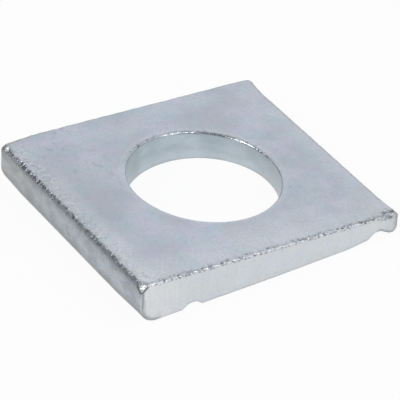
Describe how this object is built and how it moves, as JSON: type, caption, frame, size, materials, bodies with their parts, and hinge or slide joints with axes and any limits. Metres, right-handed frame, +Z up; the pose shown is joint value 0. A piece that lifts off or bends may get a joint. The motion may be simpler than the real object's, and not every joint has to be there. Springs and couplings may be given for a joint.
{
  "type": "square taper washer",
  "caption": "Square steel washer with a round hole, tapering from a thick end to a thin nosed end, with marking grooves across its underside.",
  "frame": {"origin": "on the hole's axis at the level of the flat base, the lowest plane of the underside", "axes": "+X from the thick end towards the thin end along the taper, +Y along the rolling direction, from one sheared face to the other, +Z up the hole's axis from the base to the sloping top face"},
  "size_m": [0.0445, 0.04, 0.0069],
  "materials": {
    "zinc_plate": "bright zinc plate with a blue-white passivate, satin, slightly mottled"
  },
  "bodies": {
    "root": {"taper_washer": "zinc_plate"}
  },
  "joints": []
}
